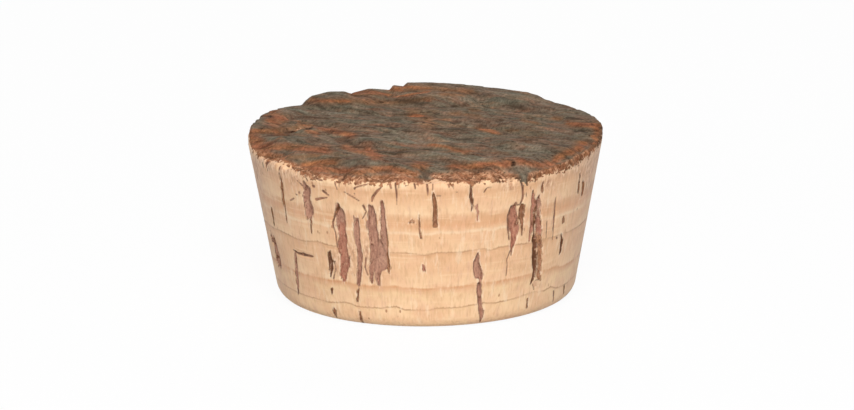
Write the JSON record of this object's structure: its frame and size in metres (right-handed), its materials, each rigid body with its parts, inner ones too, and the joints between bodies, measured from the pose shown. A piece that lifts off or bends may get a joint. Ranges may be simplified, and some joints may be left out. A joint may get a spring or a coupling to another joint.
{
  "type": "cork stopper",
  "caption": "Tapered stopper of natural cork with the rough outer bark left on its wide top face and open lenticels along its side, for plugging a wide jar or flask neck.",
  "frame": {"origin": "centre of the flat base", "axes": "+Z along the axis of the taper, up to the bark; the front of the picture looks along -Y"},
  "size_m": [0.0705, 0.0705, 0.0345],
  "materials": {
    "cork": "matte"
  },
  "bodies": {
    "root": {"stopper": "cork"}
  },
  "joints": []
}
